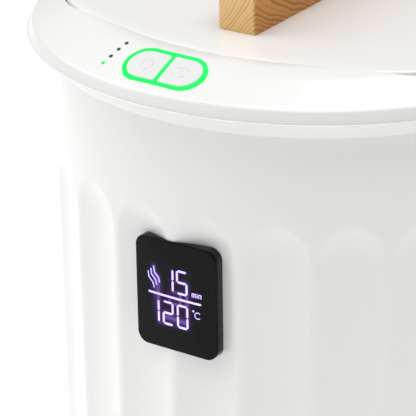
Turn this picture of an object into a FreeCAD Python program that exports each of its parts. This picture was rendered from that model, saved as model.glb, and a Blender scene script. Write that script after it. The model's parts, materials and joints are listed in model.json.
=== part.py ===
import FreeCAD, Part
import math
import os

# Bucket towel warmer, in millimetres. Z is up, the feet stand on Z = 0, the display and the buttons
# face -Y, and the body's axis is the Z axis. Azimuth 0 is the front (-Y) and grows towards +X.

V = FreeCAD.Vector
UP = V(0, 0, 1)

# Control ring: the sloping collar that overhangs the body
RIM_R = 137.0            # sharp outer edge, before rounding
RIM_Z = 360.0            # height of that edge
SEAM_R = 139.6           # foot of the flared side, where the fine seam runs
SEAM_DROP = 6.6
RING_SLOPE = 24.0        # degrees, rising inwards
CROWN_START_R = 120.0    # the straight slope rolls over into a crown here
CROWN_TOP = (109.5, 9.80)
CROWN_END = (105.0, 9.41)
RING_IN = (98.0, 8.17)
RING_SKIN = 2.8
SIDE_SKIN = 2.4
EDGE_ROUND = 3.2
RING_BOSS_AZIMUTHS = (62, 132, 228, 298)
RING_BOSS_R = 114.5

# Lid and its well: a round plan with a flattened front
LID_R = 122.1
LID_FRONT_Y = -100.1
LID_FRONT_R = 197.0
LID_CORNER_R = 62.0
LID_GAP = 0.7
LID_TOP_Z = RIM_Z + 9.0
LID_TOP_T = 2.6
LID_WALL_T = 2.2
LID_EDGE_ROUND = 2.4
LID_SKIRT_Z = RIM_Z - 11.0
LEDGE_Z = RIM_Z - 14.6   # top of the ledge that carries the bucket
LEDGE_T = 2.4
LID_LIFT_CLEAR = 0.3

# Body
BODY_R = 129.0
WALL_IN_R = 122.6
BODY_FOOT_Z = 5.0
COVE_R = 10.6
FLUTE_COUNT = 24
FLUTE_HALF_CHORD = 15.2
FLUTE_SAGITTA = 2.3
FLUTE_TOP_Z = RIM_Z - 61.4

# Towel bucket, set back from the centre to leave room for the electronics at the front
BUCKET_Y = 8.0
BUCKET_IN_R = 97.0
BUCKET_T = 1.2
BUCKET_FLOOR_Z = 62.0
BUCKET_CORNER_R = 8.0
FLANGE_R = 106.0
HEATER_IN_R = BUCKET_IN_R + BUCKET_T + 0.05
HEATER_T = 1.6
WRAP_IN_R = HEATER_IN_R + 2.0
WRAP_T = 9.5
LINER_SCREWS = [(sx * 74.0, BUCKET_Y + sy * 62.0) for sx in (-1, 1) for sy in (-1, 1)]

# Button pair, a little to the left of the front
PILL_R = 123.1
PILL_AZIMUTH = -2.4
PILL_HALF_LENGTH = 21.3
PILL_HALF_WIDTH = 10.4
GUIDE_T = 1.8
DIVIDER_T = 1.5
BUTTON_GAP = 0.3
BUTTON_PROUD = 0.5
FLANGE_TOP = -4.3        # the keys' flange, below the ring's top
FLANGE_T = 0.7
SWITCH_X = 9.5
ICON_X = 9.6
ICON_R = 2.9
ICON_STROKE_R = 0.3
ICON_SINK = 0.08
BOARD_DEPTH = 8.8
BOARD_T = 1.2
BOARD_SCREWS = ((-24.0, 10.5), (22.5, 11.5))

# Status dots: a short row beside the buttons
DOT_R = 0.95
DOT_COUNT = 4
DOT_FIRST = (-37.4, -124.3)
DOT_STEP = 4.6
DOT_LEAN = 14.5          # degrees, towards the axis

# Display
DISPLAY_X = 2.8
DISPLAY_W = 43.5
DISPLAY_H = 54.2
DISPLAY_TOP_Z = RIM_Z - 72.9
DISPLAY_Z = DISPLAY_TOP_Z - DISPLAY_H / 2
DISPLAY_CORNER_R = 5.6
DISPLAY_FRONT_Y = -130.6
DISPLAY_FACE_R = 220.0
DISPLAY_BACK_Y = -118.5
DISPLAY_BACK_T = 1.6
DISPLAY_WALL_T = 1.8
WINDOW_T = 1.6
DISPLAY_SCREWS = [(DISPLAY_X + sx * 15.0, DISPLAY_Z + sz * 20.5) for sx in (-1, 1) for sz in (-1, 1)]
LIGHT_BOX = (34.0, 34.0)
LIGHT_BOX_Y = -127.0
DISPLAY_BOARD = (38.0, 48.0)
DISPLAY_BOARD_Y = -122.5
FIGURE_PROUD = 0.08
FIGURE_DEPTH = 12.0      # of the cutters, well past the window

# Lit figures: the time above a line, the temperature below it, their units and a heat symbol
SEGMENTS = {"1": "bc", "2": "abged", "5": "afgcd", "0": "abcdef"}
FIGURE_W = 6.1
FIGURE_H = 12.0
STROKE = 1.0
SEGMENT_GAP = 0.28
UPPER_Z = 8.6
LOWER_Z = -8.4
FIGURES = (("1", -3.5, UPPER_Z), ("5", 4.0, UPPER_Z),
           ("1", -11.6, LOWER_Z), ("2", -3.8, LOWER_Z), ("0", 4.1, LOWER_Z))
RULE_X = -0.3
RULE_Z = 0.1
RULE_LENGTH = 29.0
WAVE_STROKE = 0.55
WAVE = ((0.0, 7.1), (0.4, 4.4), (2.6, 2.2), (3.2, 0.0))
WAVE_STARTS = ((-14.6, 2.9), (-13.0, 4.5), (-11.4, 6.1))
LETTER_STROKE = 0.36
LETTER_H = 1.7
LETTERS_AT = (9.4, 3.1)
DEGREE_AT = (9.9, -3.9)
DEGREE_R = 0.5
CELSIUS_AT = (12.2, -5.8)
CELSIUS_R = 1.55

# Wooden handle
HANDLE_W = 20.0
HANDLE_LENGTH = 168.6
HANDLE_H = 29.1
HANDLE_Y = 11.3
HANDLE_ROUND = 1.6
HANDLE_SCREW_REACH = 55.0
WASHER_T = 1.2

# Base
FOOT_H = 5.0
FOOT_R = 10.0
FOOT_HOLE_R = 3.0
FOOT_CIRCLE_R = 92.0
FOOT_AZIMUTHS = (45, 135, 225, 315)
BASE_R = 121.9
BASE_T = 3.0
BASE_TOP = BODY_FOOT_Z + BASE_T
BASE_BOSS_AZIMUTHS = (45, 135, 225, 315)
BASE_BOSS_R = 115.0
VENT_COUNT = 20
SHIELD_Z = 46.0
SHIELD_R = 104.0
POST_AZIMUTHS = (30, 150, 210, 330)
POST_R = 84.0
POWER_BOARD_Z = 15.0
POWER_BOARD_T = 1.6
BOARD_TOP = POWER_BOARD_Z + POWER_BOARD_T
POWER_BOARD_SCREWS = [(sx * 46.0, 20.0 + sy * 28.0) for sx in (-1, 1) for sy in (-1, 1)]

# Cord inlet
GLAND_Z = 34.0
GLAND_R = 7.0            # hole through the wall
GLAND_FIT = 0.05
CORD_BORE_R = 3.6


# ---------- helpers ----------

def polar(radius, azimuth, z=0.0):
    a = math.radians(azimuth)
    return V(radius * math.sin(a), -radius * math.cos(a), z)


def disc(radius, z0, z1, x=0.0, y=0.0):
    return Part.makeCylinder(radius, z1 - z0, V(x, y, z0))


def tube(r_out, r_in, z0, z1, x=0.0, y=0.0):
    return disc(r_out, z0, z1, x, y).cut(disc(r_in, z0 - 1, z1 + 1, x, y))


def block(x0, x1, y0, y1, z0, z1):
    return Part.makeBox(x1 - x0, y1 - y0, z1 - z0, V(x0, y0, z0))


def centred_block(w, d, h, x, y, z):
    return block(x - w / 2, x + w / 2, y - d / 2, y + d / 2, z, z + h)


def fuse_all(shapes):
    first, rest = shapes[0], shapes[1:]
    return first.multiFuse(rest) if rest else first


def group(shapes):
    solids = []
    for shape in shapes:
        solids.extend(shape.Solids)
    return Part.makeCompound(solids)


def line(a, b):
    return Part.LineSegment(a, b).toShape()


def arc(a, middle, b):
    return Part.Arc(a, middle, b).toShape()


def section(points):
    """Closed polygon of (radius, z) pairs in the XZ plane, as a face."""
    corners = [V(r, 0, z) for r, z in points]
    return Part.Face(Part.makePolygon(corners + corners[:1]))


def revolve(face, y=0.0):
    solid = face.revolve(V(0, 0, 0), UP, 360)
    solid.translate(V(0, y, 0))
    return solid


def prism(wire, z0, z1):
    """Solid over a flat wire drawn at Z = 0."""
    base = wire.copy()
    base.translate(V(0, 0, z0))
    return Part.Face(base).extrude(V(0, 0, z1 - z0))


def stadium(half_length, half_width):
    """Oval of two straight sides and two round ends, about the origin, long along X."""
    c = half_length - half_width
    w = half_width
    return Part.Wire([
        line(V(-c, -w, 0), V(c, -w, 0)),
        arc(V(c, -w, 0), V(c + w, 0, 0), V(c, w, 0)),
        line(V(c, w, 0), V(-c, w, 0)),
        arc(V(-c, w, 0), V(-c - w, 0, 0), V(-c, -w, 0)),
    ])


def rounded_rectangle(width, height, radius):
    """Wire in the XZ plane, about the origin."""
    x, z, r = width / 2, height / 2, radius
    q = r * (1 - math.sqrt(0.5))
    edges = []
    corners = [(1, 1), (-1, 1), (-1, -1), (1, -1)]
    for i, (sx, sz) in enumerate(corners):
        upright = V(sx * x, 0, sz * (z - r))
        level = V(sx * (x - r), 0, sz * z)
        middle = V(sx * (x - q), 0, sz * (z - q))
        first, last = (upright, level) if i % 2 == 0 else (level, upright)
        edges.append(arc(first, middle, last))
        nx, nz = corners[(i + 1) % 4]
        if i % 2 == 0:
            edges.append(line(last, V(nx * (x - r), 0, nz * z)))
        else:
            edges.append(line(last, V(nx * x, 0, nz * (z - r))))
    return Part.Wire(edges)


def screw(x, y, z_seat, length, shank_r=1.5, head_r=2.9, head_h=2.0, up=True):
    """Pan-head screw with a cross recess. z_seat is under the head; the head is above when up."""
    shank = disc(shank_r, z_seat - length, z_seat, x, y)
    head = disc(head_r, z_seat, z_seat + head_h, x, y)
    head = head.makeFillet(head_r * 0.3, [head.Edges[0]])
    slots = [centred_block(head_r * 1.1, 0.7, head_h, x, y, z_seat + head_h * 0.55),
             centred_block(0.7, head_r * 1.1, head_h, x, y, z_seat + head_h * 0.55)]
    solid = head.fuse(shank).cut(fuse_all(slots))
    if not up:
        solid.rotate(V(x, y, z_seat), V(1, 0, 0), 180)
    return solid


def wire_run(points, radius, bend):
    """Round lead along straight runs that are joined by tangent arcs."""
    edges = []
    start = points[0]
    for before, corner, after in zip(points, points[1:], points[2:]):
        back = (before - corner).normalize()
        ahead = (after - corner).normalize()
        half = back.getAngle(ahead) / 2
        reach = bend / math.tan(half)
        inward = (back + ahead).normalize()
        middle = corner + inward * (bend / math.sin(half) - bend)
        a = corner + back * reach
        b = corner + ahead * reach
        edges.append(line(start, a))
        edges.append(arc(a, middle, b))
        start = b
    edges.append(line(start, points[-1]))
    path = Part.Wire(edges)
    direction = points[1] - points[0]
    profile = Part.Wire([Part.makeCircle(radius, points[0], direction)])
    return path.makePipeShell([profile], True, False)


# ---------- lid outline and ring surface ----------

def lid_outline(offset=0.0):
    """Lid plan as four tangent arcs: a round back, a flatter front and two corners between them."""
    back_r = LID_R + offset
    front_r = LID_FRONT_R + offset
    corner_r = LID_CORNER_R + offset
    front_y = LID_FRONT_Y + LID_FRONT_R
    a = LID_R - LID_CORNER_R
    b = LID_FRONT_R - LID_CORNER_R
    cy = (a * a - b * b + front_y * front_y) / (2 * front_y)
    cx = math.sqrt(a * a - cy * cy)
    centre = V(cx, cy, 0)
    outwards = V(cx / a, cy / a, 0)
    forwards = V(cx / b, (cy - front_y) / b, 0)
    on_back = outwards * back_r
    on_front = centre + forwards * corner_r
    on_corner = centre + (outwards + forwards).normalize() * corner_r

    def mirrored(p):
        return V(-p.x, p.y, p.z)

    return Part.Wire([
        arc(on_back, V(0, back_r, 0), mirrored(on_back)),
        arc(mirrored(on_back), mirrored(on_corner), mirrored(on_front)),
        arc(mirrored(on_front), V(0, front_y - front_r, 0), on_front),
        arc(on_front, on_corner, on_back),
    ])


def ring_slope_height(r):
    """Height of the straight part of the ring's top above RIM_Z."""
    return (RIM_R - r) * math.tan(math.radians(RING_SLOPE))


def ring_surface(r):
    """Height above Z = 0 of the ring's top at a radius on its slope or its crown."""
    if r >= CROWN_START_R:
        return RIM_Z + ring_slope_height(r)
    r0, z0 = CROWN_START_R, ring_slope_height(CROWN_START_R)
    r1, z1 = CROWN_TOP
    t = (r0 - r) / (r0 - r1)
    return RIM_Z + z0 + (z1 - z0) * (1 - (1 - t) ** 2)


def ring_top_profile(sink, outer_r, inner):
    """Edges of the ring's top, sunk by a depth, from outer_r inwards to the point inner."""
    def at(r, z):
        return V(r, 0, RIM_Z + z - sink)

    start = at(outer_r, ring_slope_height(outer_r))
    turn = at(CROWN_START_R, ring_slope_height(CROWN_START_R))
    end = at(*CROWN_END)
    last = at(*inner)
    return [line(start, turn), arc(turn, at(*CROWN_TOP), end), line(end, last)], start, last


# ---------- body ----------

def flute_cutter(azimuth):
    """Round bar with a ball end: it leaves a shallow hollow with an arched top."""
    cutter_r = (FLUTE_HALF_CHORD ** 2 + FLUTE_SAGITTA ** 2) / (2 * FLUTE_SAGITTA)
    chord_r = math.sqrt(BODY_R ** 2 - FLUTE_HALF_CHORD ** 2)
    centre_r = chord_r - FLUTE_SAGITTA + cutter_r
    top = FLUTE_TOP_Z - FLUTE_HALF_CHORD
    bar = Part.makeCylinder(cutter_r, top + 10, polar(centre_r, azimuth, -10))
    ball = Part.makeSphere(cutter_r, polar(centre_r, azimuth, top))
    return bar.fuse(ball)


def display_opening(clearance):
    """Cutter through the wall for the display's body."""
    wire = rounded_rectangle(DISPLAY_W + 2 * clearance, DISPLAY_H + 2 * clearance,
                             DISPLAY_CORNER_R + clearance)
    wire.translate(V(DISPLAY_X, DISPLAY_FRONT_Y - 10, DISPLAY_Z))
    return Part.Face(wire).extrude(V(0, 40, 0))


def wall_boss(azimuth, radius, boss_r, z0, z1):
    """Screw boss beside the wall, joined to it by a web."""
    centre = polar(radius, azimuth)
    boss = disc(boss_r, z0, z1, centre.x, centre.y)
    web = block(-1.5, 1.5, radius, WALL_IN_R + 1.5, z0, z1)
    web.rotate(V(0, 0, 0), UP, azimuth - 180)
    pilot = disc(1.5, z0 - 1, z1 + 1, centre.x, centre.y)
    return boss.fuse(web).cut(pilot)


def outer_shell():
    seam_z = RIM_Z - SEAM_DROP
    lip_r = SEAM_R - 0.3
    cove_z = seam_z - math.sqrt(COVE_R ** 2 - (lip_r - BODY_R - COVE_R) ** 2)
    cove_centre = V(BODY_R + COVE_R, 0, cove_z)
    middle = cove_centre + V(-COVE_R * math.cos(math.radians(40)), 0,
                             COVE_R * math.sin(math.radians(40)))
    foot = V(BODY_R, 0, BODY_FOOT_Z)
    cove_start = V(BODY_R, 0, cove_z)
    lip = V(lip_r, 0, seam_z)
    inner = [V(lip_r - 5, 0, seam_z), V(lip_r - 5, 0, seam_z - 2.6),
             V(WALL_IN_R, 0, seam_z - 16.3), V(WALL_IN_R, 0, BODY_FOOT_Z)]
    edges = [line(foot, cove_start), arc(cove_start, middle, lip), line(lip, inner[0])]
    edges += [line(a, b) for a, b in zip(inner, inner[1:])]
    edges.append(line(inner[-1], foot))
    body = revolve(Part.Face(Part.Wire(edges)))

    step = 360.0 / FLUTE_COUNT
    cutters = [flute_cutter((i + 0.5) * step) for i in range(FLUTE_COUNT)]
    body = body.cut(cutters)

    pad = block(-15, 15, WALL_IN_R - 3, BODY_R + 0.4, GLAND_Z - 15, GLAND_Z + 15)
    bosses = [wall_boss(a, RING_BOSS_R, 4.2, LEDGE_Z - LEDGE_T - 26, LEDGE_Z - LEDGE_T)
              for a in RING_BOSS_AZIMUTHS]
    bosses += [wall_boss(a, BASE_BOSS_R, 4.5, BASE_TOP, BASE_TOP + 16)
               for a in BASE_BOSS_AZIMUTHS]
    body = body.multiFuse([pad] + bosses)
    gland_hole = Part.makeCylinder(GLAND_R, 30, V(0, WALL_IN_R - 8, GLAND_Z), V(0, 1, 0))
    return body.cut([display_opening(0.05), gland_hole])


# ---------- control ring ----------

def pill_place(shape):
    """Put a shape drawn about the origin, with Z as its normal, on the ring's front slope."""
    placed = shape.copy()
    placed.rotate(V(0, 0, 0), V(1, 0, 0), RING_SLOPE)
    placed.translate(V(0, -PILL_R, ring_surface(PILL_R)))
    placed.rotate(V(0, 0, 0), UP, PILL_AZIMUTH)
    return placed


def dot_centres():
    lean = math.radians(DOT_LEAN)
    x0, y0 = DOT_FIRST
    points = []
    for i in range(DOT_COUNT):
        x = x0 + i * DOT_STEP * math.sin(lean)
        y = y0 + i * DOT_STEP * math.cos(lean)
        points.append((x, y, ring_surface(math.hypot(x, y))))
    return points


def dot_pin(centre, radius, top, bottom):
    """Pin square to the ring's skin at a dot, between two depths measured from the surface."""
    x, y, z = centre
    r = math.hypot(x, y)
    slope = math.radians(RING_SLOPE)
    normal = V(x / r * math.sin(slope), y / r * math.sin(slope), math.cos(slope))
    return Part.makeCylinder(radius, top - bottom, V(x, y, z) + normal * bottom, normal)


def control_ring():
    top, start, last = ring_top_profile(0, RIM_R, RING_IN)
    seam = V(SEAM_R, 0, RIM_Z - SEAM_DROP)
    under = V(SEAM_R - 4.6, 0, RIM_Z - SEAM_DROP)
    foot = V(SEAM_R - 4.6, 0, LEDGE_Z - LEDGE_T)
    inner_foot = V(RING_IN[0], 0, LEDGE_Z - LEDGE_T)
    edges = top + [line(last, inner_foot), line(inner_foot, foot), line(foot, under),
                   line(under, seam), line(seam, start)]
    body = revolve(Part.Face(Part.Wire(edges)))

    well = prism(lid_outline(LID_GAP / 2), LEDGE_Z, RIM_Z + 30)
    body = body.cut(well)
    body = round_outer_edge(body)

    skin_top, a, b = ring_top_profile(RING_SKIN, RIM_R - SIDE_SKIN - 1.0, RING_IN)
    low = RIM_Z - 40
    side = V(SEAM_R - SIDE_SKIN, 0, RIM_Z - SEAM_DROP)
    hollow_edges = skin_top + [line(b, V(b.x, 0, low)), line(V(b.x, 0, low), V(side.x, 0, low)),
                               line(V(side.x, 0, low), side), line(side, a)]
    hollow = revolve(Part.Face(Part.Wire(hollow_edges)))
    well_wall = prism(lid_outline(LID_GAP / 2 + 2.2), low - 1, RIM_Z + 30)
    body = body.cut(hollow.cut(well_wall))

    centre_hole = disc(BUCKET_IN_R + BUCKET_T + 1.0, RIM_Z - 60, RIM_Z + 60, 0, BUCKET_Y)
    pill_hole = pill_place(prism(stadium(PILL_HALF_LENGTH, PILL_HALF_WIDTH), -6, 6))
    holes = [centre_hole, pill_hole]
    for centre in dot_centres():
        holes.append(dot_pin(centre, DOT_R, 3, -6))
    for azimuth in RING_BOSS_AZIMUTHS:
        at = polar(RING_BOSS_R, azimuth)
        holes.append(disc(1.7, LEDGE_Z - 10, LEDGE_Z + 1, at.x, at.y))
    body = body.cut(holes)

    posts = []
    for x, y in BOARD_SCREWS:
        post = Part.makeCylinder(2.4, BOARD_DEPTH - RING_SKIN + 0.6, V(x, y, -BOARD_DEPTH))
        pilot = Part.makeCylinder(1.0, BOARD_DEPTH - RING_SKIN, V(x, y, -BOARD_DEPTH))
        posts.append(pill_place(post.cut(pilot)))
    return body.multiFuse(posts)


def round_outer_edge(body):
    def on_outer_edge(edge):
        box = edge.BoundBox
        return abs(box.XMax - RIM_R) < 0.01 and box.ZMin > RIM_Z - 0.01 and box.ZMax < RIM_Z + 0.01

    return body.makeFillet(EDGE_ROUND, [e for e in body.Edges if on_outer_edge(e)])


def ring_screws():
    screws = []
    for azimuth in RING_BOSS_AZIMUTHS:
        at = polar(RING_BOSS_R, azimuth)
        screws.append(screw(at.x, at.y, LEDGE_Z, 12))
    return group(screws)


# ---------- buttons and dots ----------

def button_light_guide():
    outer = prism(stadium(PILL_HALF_LENGTH - 0.05, PILL_HALF_WIDTH - 0.05), -3.2, 0.3)
    inner = prism(stadium(PILL_HALF_LENGTH - GUIDE_T, PILL_HALF_WIDTH - GUIDE_T), -4, 1)
    divider = centred_block(DIVIDER_T, 2 * PILL_HALF_WIDTH - GUIDE_T, 3.5, 0, 0, -3.2)
    return pill_place(outer.cut(inner).fuse(divider))


def half_button(side):
    """One key: a half oval with a wider flange below, which keeps it in the ring."""
    gap = GUIDE_T + BUTTON_GAP
    split = DIVIDER_T / 2 + BUTTON_GAP
    keep = block(split, 60, -30, 30, -30, 30)
    cap = prism(stadium(PILL_HALF_LENGTH - gap, PILL_HALF_WIDTH - gap), FLANGE_TOP - 0.1, BUTTON_PROUD)
    cap = cap.common(keep)
    rim = [e for e in cap.Edges if e.BoundBox.ZMin > BUTTON_PROUD - 0.01]
    cap = cap.makeFillet(0.4, rim)
    flange = prism(stadium(PILL_HALF_LENGTH + 0.4, PILL_HALF_WIDTH + 0.4), FLANGE_TOP - FLANGE_T, FLANGE_TOP)
    flange = flange.common(block(0.25, 60, -30, 30, -30, 30))
    stem = Part.makeCylinder(2.0, 0.6, V(SWITCH_X, 0, FLANGE_TOP - FLANGE_T - 0.3))
    button = fuse_all([cap, flange, stem])
    if side < 0:
        button.rotate(V(0, 0, 0), UP, 180)
    icon = power_icon() if side < 0 else heat_icon()
    return pill_place(button.multiFuse(icon))


def icon_arc(x, y, radius, start, sweep):
    """Raised stroke along an arc in the plane of the keys' tops."""
    ring = Part.makeTorus(radius, ICON_STROKE_R, V(0, 0, 0), UP, 0, 360, sweep)
    ring.rotate(V(0, 0, 0), UP, start)
    ring.translate(V(x, y, BUTTON_PROUD - ICON_SINK))
    return ring


def power_icon():
    """Open ring with a stroke in its gap."""
    foot = V(-ICON_X, 0.9, BUTTON_PROUD - ICON_SINK)
    stroke = Part.makeCylinder(ICON_STROKE_R, ICON_R - 0.3, foot, V(0, 1, 0))
    return [icon_arc(-ICON_X, 0, ICON_R, 125, 290), stroke]


def heat_icon():
    """Two arcs that chase each other, and a small ring between them."""
    return [icon_arc(ICON_X, 0, ICON_R, 20, 130), icon_arc(ICON_X, 0, ICON_R, 200, 130),
            icon_arc(ICON_X, 0, 1.1, 0, 360)]


def indicator_lenses(first, last):
    return group([dot_pin(c, DOT_R - 0.03, 0.25, -4.0) for c in dot_centres()[first:last]])


def control_pcb():
    board = block(-36, 24.5, -7, 14.5, -BOARD_DEPTH - BOARD_T, -BOARD_DEPTH)
    for x, y in BOARD_SCREWS:
        board = board.cut(Part.makeCylinder(1.2, 10, V(x, y, -BOARD_DEPTH - 5)))
    chip = centred_block(9, 5, 1.4, -12, 9.5, -BOARD_DEPTH - BOARD_T - 1.4)
    socket = centred_block(10, 4.5, 4.5, 6, 9.5, -BOARD_DEPTH - BOARD_T - 4.5)
    return pill_place(fuse_all([board, chip, socket]))


def control_pcb_screws():
    screws = []
    for x, y in BOARD_SCREWS:
        one = screw(x, y, -BOARD_DEPTH - BOARD_T, 4.5, 0.95, 1.9, 1.3, up=False)
        screws.append(pill_place(one))
    return group(screws)


def tact_switches():
    switches = []
    for side in (-1, 1):
        can = centred_block(6, 6, 1.9, side * SWITCH_X, 0, -BOARD_DEPTH)
        plunger = Part.makeCylinder(1.6, 0.7, V(side * SWITCH_X, 0, -BOARD_DEPTH + 1.9))
        switches.append(pill_place(can.fuse(plunger)))
    return group(switches)


def status_leds():
    chips = []
    for side in (-1, 1):
        for end in (-1, 1):
            chips.append(pill_place(centred_block(2.2, 1.4, 0.9, side * 17.5, end * 4.5, -BOARD_DEPTH)))
    slope = math.radians(RING_SLOPE)
    turn = math.radians(PILL_AZIMUTH)
    for x, y, _ in dot_centres():
        across = x * math.cos(turn) + y * math.sin(turn)
        inwards = y * math.cos(turn) - x * math.sin(turn) + PILL_R
        up_slope = inwards / math.cos(slope) - BOARD_DEPTH * math.tan(slope) * 0.6
        chips.append(pill_place(centred_block(1.4, 1.0, 0.8, across, up_slope, -BOARD_DEPTH)))
    return group(chips)


# ---------- display ----------

def display_prism(inset, y0, y1):
    wire = rounded_rectangle(DISPLAY_W - 2 * inset, DISPLAY_H - 2 * inset,
                             DISPLAY_CORNER_R - min(inset, DISPLAY_CORNER_R - 1))
    wire.translate(V(DISPLAY_X, y0, DISPLAY_Z))
    return Part.Face(wire).extrude(V(0, y1 - y0, 0))


def face_layer(proud, depth):
    """Curved layer of the display's front, from proud of its face down to depth behind it."""
    centre_y = DISPLAY_FRONT_Y + DISPLAY_FACE_R
    z0, height = DISPLAY_TOP_Z - DISPLAY_H - 5, DISPLAY_H + 10
    outer = Part.makeCylinder(DISPLAY_FACE_R + proud, height, V(DISPLAY_X, centre_y, z0))
    inner = Part.makeCylinder(DISPLAY_FACE_R - depth, height, V(DISPLAY_X, centre_y, z0))
    return outer.cut(inner)


def display_housing():
    body = display_prism(0, DISPLAY_FRONT_Y - 2, DISPLAY_BACK_Y)
    body = body.common(face_layer(-WINDOW_T, 60))
    body = body.cut(display_prism(DISPLAY_WALL_T, DISPLAY_FRONT_Y - 5, DISPLAY_BACK_Y - DISPLAY_BACK_T))
    posts = [Part.makeCylinder(2.2, 1.7, V(x, DISPLAY_BACK_Y - 2.8, z), V(0, 1, 0))
             for x, z in DISPLAY_SCREWS]
    pilots = [Part.makeCylinder(0.9, 6, V(x, DISPLAY_BACK_Y - 4, z), V(0, 1, 0)) for x, z in DISPLAY_SCREWS]
    cable_slot = centred_block(9, 8, 7, DISPLAY_X, DISPLAY_BACK_Y, DISPLAY_TOP_Z - DISPLAY_H + 3.5)
    return body.multiFuse(posts).cut(pilots + [cable_slot])


def display_window():
    pane = display_prism(0, DISPLAY_FRONT_Y - 2, DISPLAY_BACK_Y).common(face_layer(0, WINDOW_T))
    return pane.cut(figure_prisms())


def bar(x, z, length, upright):
    """Segment of a figure, as a pointed bar in the XZ plane about its centre."""
    half, tip = length / 2, STROKE / 2
    outline = [(-half, 0), (-half + tip, tip), (half - tip, tip), (half, 0), (half - tip, -tip),
               (-half + tip, -tip)]
    if upright:
        outline = [(b, a) for a, b in outline]
    corners = [V(x + a, 0, z + b) for a, b in outline]
    return Part.Face(Part.makePolygon(corners + corners[:1]))


def figure(digit, x, z):
    """Seven-segment figure about its centre."""
    w, h = FIGURE_W - STROKE, FIGURE_H - STROKE
    level, upright = w - SEGMENT_GAP, h / 2 - SEGMENT_GAP
    places = {
        "a": (0, h / 2, level, False), "g": (0, 0, level, False), "d": (0, -h / 2, level, False),
        "b": (w / 2, h / 4, upright, True), "c": (w / 2, -h / 4, upright, True),
        "f": (-w / 2, h / 4, upright, True), "e": (-w / 2, -h / 4, upright, True),
    }
    return [bar(x + dx, z + dz, length, stands)
            for dx, dz, length, stands in (places[s] for s in SEGMENTS[digit])]


def figure_faces():
    """Every lit segment and the dividing line, about the display's centre."""
    faces = []
    for digit, x, z in FIGURES:
        faces += figure(digit, x, z)
    faces.append(bar(RULE_X, RULE_Z, RULE_LENGTH, False))
    return faces


def stroke_prism(points, width):
    """Line of even width with round ends through (x, z) points, as a prism along +Y."""
    parts = []
    for (x0, z0), (x1, z1) in zip(points, points[1:]):
        run = block(0, math.hypot(x1 - x0, z1 - z0), 0, FIGURE_DEPTH, -width / 2, width / 2)
        run.rotate(V(0, 0, 0), V(0, 1, 0), -math.degrees(math.atan2(z1 - z0, x1 - x0)))
        run.translate(V(x0, 0, z0))
        parts.append(run)
    parts += [Part.makeCylinder(width / 2, FIGURE_DEPTH, V(x, 0, z), V(0, 1, 0)) for x, z in points]
    return fuse_all(parts)


def curve_points(centre, radius, start, sweep, count=10):
    angles = [math.radians(start + sweep * i / count) for i in range(count + 1)]
    return [(centre[0] + radius * math.cos(a), centre[1] + radius * math.sin(a)) for a in angles]


def mark_prisms():
    """Heat symbol and the units beside the figures."""
    x, z = LETTERS_AT
    top = z + LETTER_H
    letters = [
        [(x, z), (x, top), (x + 0.85, top), (x + 0.85, z)],
        [(x + 0.85, top), (x + 1.7, top), (x + 1.7, z)],
        [(x + 2.6, z), (x + 2.6, top - 0.35)],
        [(x + 3.5, z), (x + 3.5, top), (x + 4.6, top), (x + 4.6, z)],
        curve_points(CELSIUS_AT, CELSIUS_R, 50, 260),
    ]
    m_shape = stroke_prism(letters[0], LETTER_STROKE).fuse(stroke_prism(letters[1], LETTER_STROKE))
    marks = [m_shape] + [stroke_prism(points, LETTER_STROKE) for points in letters[2:]]
    marks.append(Part.makeCylinder(LETTER_STROKE * 0.6, FIGURE_DEPTH, V(x + 2.6, 0, top + 0.25), V(0, 1, 0)))
    marks.append(Part.makeCylinder(DEGREE_R, FIGURE_DEPTH, V(DEGREE_AT[0], 0, DEGREE_AT[1]), V(0, 1, 0)))
    for x0, z0 in WAVE_STARTS:
        marks.append(stroke_prism([(x0 + dx, z0 + dz) for dx, dz in WAVE], WAVE_STROKE))
    return marks


def figure_prisms():
    place = V(DISPLAY_X, DISPLAY_FRONT_Y - 3, DISPLAY_Z)
    prisms = []
    for face in figure_faces():
        face.translate(place)
        prisms.append(face.extrude(V(0, FIGURE_DEPTH, 0)))
    for mark in mark_prisms():
        mark.translate(place)
        prisms.append(mark)
    return prisms


def display_figures():
    layer = face_layer(FIGURE_PROUD, WINDOW_T)
    return group([p.common(layer) for p in figure_prisms()])


def display_light_box():
    w, h = LIGHT_BOX
    x0, z0 = DISPLAY_X - w / 2, DISPLAY_Z - h / 2
    return block(x0, x0 + w, LIGHT_BOX_Y, DISPLAY_BOARD_Y, z0, z0 + h)


def display_pcb():
    w, h = DISPLAY_BOARD
    x0, z0 = DISPLAY_X - w / 2, DISPLAY_Z - h / 2
    plate = block(x0, x0 + w, DISPLAY_BOARD_Y, DISPLAY_BOARD_Y + BOARD_T, z0, z0 + h)
    holes = [Part.makeCylinder(1.0, 4, V(x, DISPLAY_BOARD_Y - 1.5, z), V(0, 1, 0))
             for x, z in DISPLAY_SCREWS]
    socket = centred_block(8, 3.8, 4, DISPLAY_X, DISPLAY_BOARD_Y + 3.1, z0 + 2)
    return plate.cut(holes).fuse(socket)


def display_screws():
    screws = []
    for x, z in DISPLAY_SCREWS:
        head = Part.makeCylinder(1.7, 0.9, V(x, DISPLAY_BOARD_Y - 0.9, z), V(0, 1, 0))
        shank = Part.makeCylinder(0.85, 3.2, V(x, DISPLAY_BOARD_Y, z), V(0, 1, 0))
        screws.append(head.fuse(shank))
    return group(screws)


# ---------- bucket, heater and insulation ----------

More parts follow.
